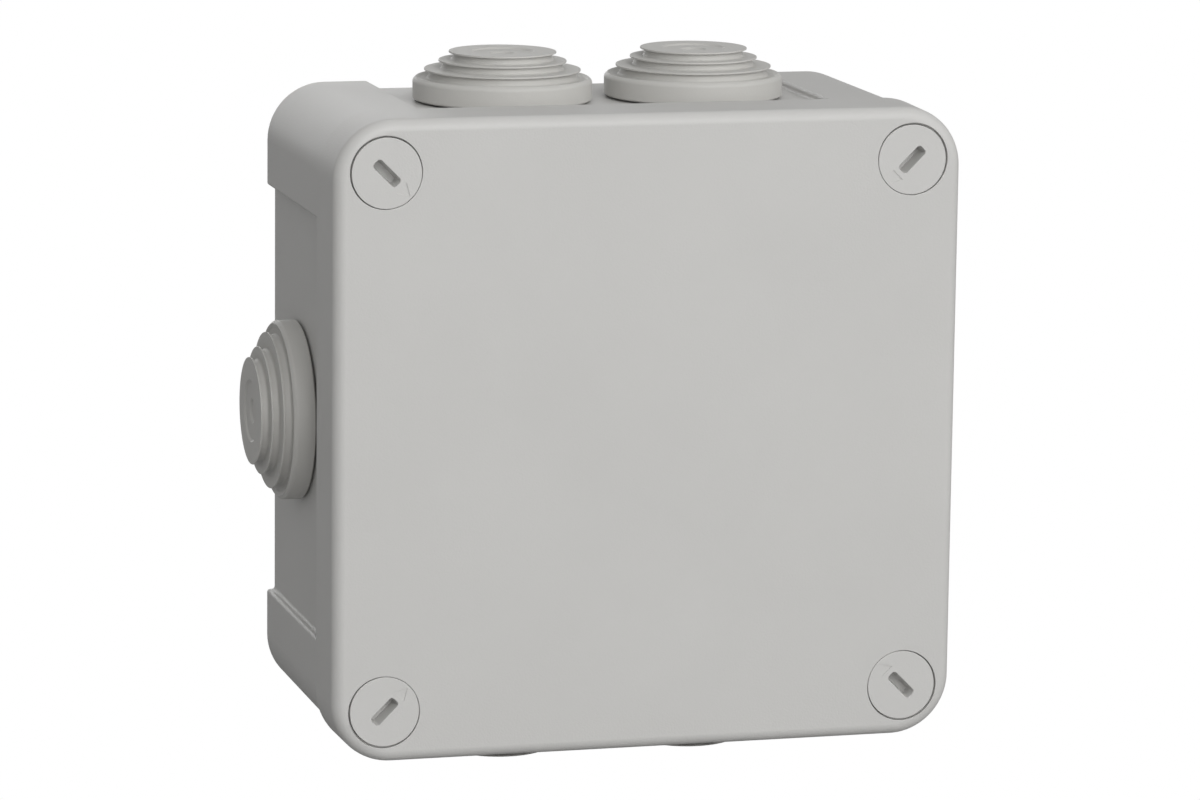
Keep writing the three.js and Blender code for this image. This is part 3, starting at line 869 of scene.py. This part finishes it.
def make_slotted_screw(shank, head, head_height, tip, top):
    """A metal screw on the z axis: two radii, the height of its head and the z of its two ends."""
    slot_width, slot_depth = 0.7, 0.9
    under = top - head_height
    screw = turned("head", [
        (0.4, under - 0.2, 0, 0),
        (shank * 0.8, under - 0.2, 0, 0),
        (shank * 0.8, under, 0, 0),
        (head, under, 0.1, 2),
        (head, top, 0.3, 4),
        (0.4, top, 0, 0),
    ], segments=40)
    join(screw, threaded("shank", shank, tip, under + 0.1, pitch=0.7, depth=0.18))
    cut(screw, cutter("slot", rectangle(3 * head, slot_width, 0), top - slot_depth, top))
    return shade(clean(screw))


# ------------------------------------------------------------------ assembly

def build():
    stand_up(make_base(), "base_box_fine", HOUSING, "base")
    stand_up(make_lid(), "lid_fine", HOUSING, "lid")
    stand_up(make_gasket(), "lid_gasket_fine", GASKET, "lid")

    screw, cap, grommet = make_lid_screw(), make_fixing_cap(), make_grommet()
    for name, (sx, sy) in CORNERS.items():
        outward = Matrix.Rotation(math.atan2(sy, sx), 4, "Z")
        there = Matrix.Translation((sx * SCREW_OFFSET, sy * SCREW_OFFSET, 0)) @ outward
        body = f"lid_screw_{name}"
        stand_up(copy_at(screw, there), f"{body}_fine", SCREW, body)
        there = Matrix.Translation((sx * FIXING_OFFSET, sy * FIXING_OFFSET, 0))
        stand_up(copy_at(cap, there), f"fixing_cap_{name}_fine", CAP, "base")
    for name, entry in ENTRIES.items():
        stand_up(copy_at(grommet, entry_matrix(*entry)), f"grommet_{name}_fine", GROMMET, "base")

    stand_up(make_strip_body(), "terminal_strip_body_fine", STRIP, "base")
    clamp = make_clamp()
    clamp_screw = make_slotted_screw(shank=1.2, head=1.95, head_height=1.9, tip=13, top=19.2)
    for pole in range(STRIP_POLES):
        there = Matrix.Translation((pole_x(pole), 0, 0))
        stand_up(copy_at(clamp, there), f"terminal_clamp_{pole + 1}_fine", BRASS, "base")
        for end, side in (("upper", 1), ("lower", -1)):
            there = Matrix.Translation((pole_x(pole), side * CLAMP_SCREW_OFFSET, 0))
            body = f"clamp_screw_{pole + 1}_{end}"
            stand_up(copy_at(clamp_screw, there), f"{body}_fine", STEEL, body)
    strip_screw = make_slotted_screw(shank=1.2, head=2.7, head_height=1.7, tip=2.9, top=10.6)
    for end, side in (("left", -1), ("right", 1)):
        there = Matrix.Translation((side * STRIP_EAR_OFFSET, 0, 0))
        stand_up(copy_at(strip_screw, there), f"strip_screw_{end}_fine", STEEL, "base")
    for source in (screw, cap, grommet, clamp, clamp_screw, strip_screw):
        bpy.data.objects.remove(source)


# ------------------------------------------------------------------ camera, floor and light

CAMERA_PLACE = (-0.2398, -0.83896 - DEPTH * MM, 0.16513)  # metres
CAMERA_HEADING, CAMERA_TILT, CAMERA_ROLL = 15.42, 10.36, 0.67  # degrees to the right, down and clockwise
CAMERA_LENS, CAMERA_SENSOR = 164.56, 36  # millimetres

FLOOR_GAP, FLOOR_REACH = 0.0005, 8  # metres below the box, and metres each way
FLOOR_BOUNCE = 0.35  # how much of the light on the floor comes back to the box
WORLD_STRENGTH = 0.41
SOFTBOX_DISTANCE = 1.6  # metres
SOFTBOXES = [  # degrees to the right of straight ahead, degrees up, size in metres, watts
    ("wide", 20, 10, 3, 31.9),
    ("key", 0, 30, 0.8, 4.5),
    ("back", 180, 5, 0.8, 3.4),
    ("over", 180, 60, 0.8, 0.8),
]


def add_camera():
    data = bpy.data.cameras.new("camera")
    data.lens = CAMERA_LENS
    data.sensor_width = CAMERA_SENSOR
    data.clip_start = 0.01
    data.clip_end = 50
    camera = bpy.data.objects.new("camera", data)
    turn = Matrix.Rotation(math.radians(-CAMERA_HEADING), 4, "Z")
    turn = turn @ Matrix.Rotation(math.radians(-CAMERA_TILT), 4, "X")
    turn = turn @ Matrix.Rotation(math.radians(-CAMERA_ROLL), 4, "Y")
    camera.matrix_world = Matrix.Translation(CAMERA_PLACE) @ turn @ Matrix.Rotation(math.pi / 2, 4, "X")
    bpy.context.scene.collection.objects.link(camera)
    bpy.context.scene.camera = camera


def white_to_camera(tree, surface, output):
    """Shows the camera a plain white background and leaves the light that reaches the box alone."""
    white = node(tree, "ShaderNodeEmission", {"Color": (1, 1, 1, 1), "Strength": 1})
    seen = node(tree, "ShaderNodeLightPath").outputs["Is Camera Ray"]
    mix = node(tree, "ShaderNodeMixShader", {0: seen, 1: surface, 2: white.outputs[0]})
    tree.links.new(mix.outputs[0], output.inputs["Surface"])


def add_floor():
    material, tree, shader, _ = new_material("pale_floor")
    shader.inputs["Base Color"].default_value = (*[FLOOR_BOUNCE] * 3, 1)
    shader.inputs["Roughness"].default_value = 0.8
    white_to_camera(tree, shader.outputs["BSDF"], tree.nodes["Material Output"])
    low = CAD_BOX[0].z - FLOOR_GAP
    reach = FLOOR_REACH
    corners = at_height([(-reach, -reach), (reach, -reach), (reach, reach), (-reach, reach)], low)
    floor = solid("floor", corners, [(0, 1, 2, 3)])
    floor.data.materials.append(material)


def add_world():
    world = bpy.data.worlds.new("studio")
    world.use_nodes = True
    tree = world.node_tree
    background = tree.nodes["Background"]
    background.inputs["Color"].default_value = (1, 1, 1, 1)
    background.inputs["Strength"].default_value = WORLD_STRENGTH
    white_to_camera(tree, background.outputs["Background"], tree.nodes["World Output"])
    bpy.context.scene.world = world


def add_light(name, around, height, size, watts):
    """A round softbox, aimed at the middle of the box's back."""
    around, height = math.radians(around), math.radians(height)
    flat = math.cos(height)
    place = Vector((math.sin(around) * flat, -math.cos(around) * flat, math.sin(height)))
    data = bpy.data.lights.new(name, "AREA")
    data.shape = "DISK"
    data.size = size
    data.energy = watts
    light = bpy.data.objects.new(name, data)
    light.location = place * SOFTBOX_DISTANCE
    light.rotation_euler = (-place).to_track_quat("-Z", "Y").to_euler()
    bpy.context.scene.collection.objects.link(light)


bpy.context.scene.view_settings.view_transform = "Standard"
add_camera()
add_floor()
add_world()
for softbox in SOFTBOXES:
    add_light(*softbox)
build()
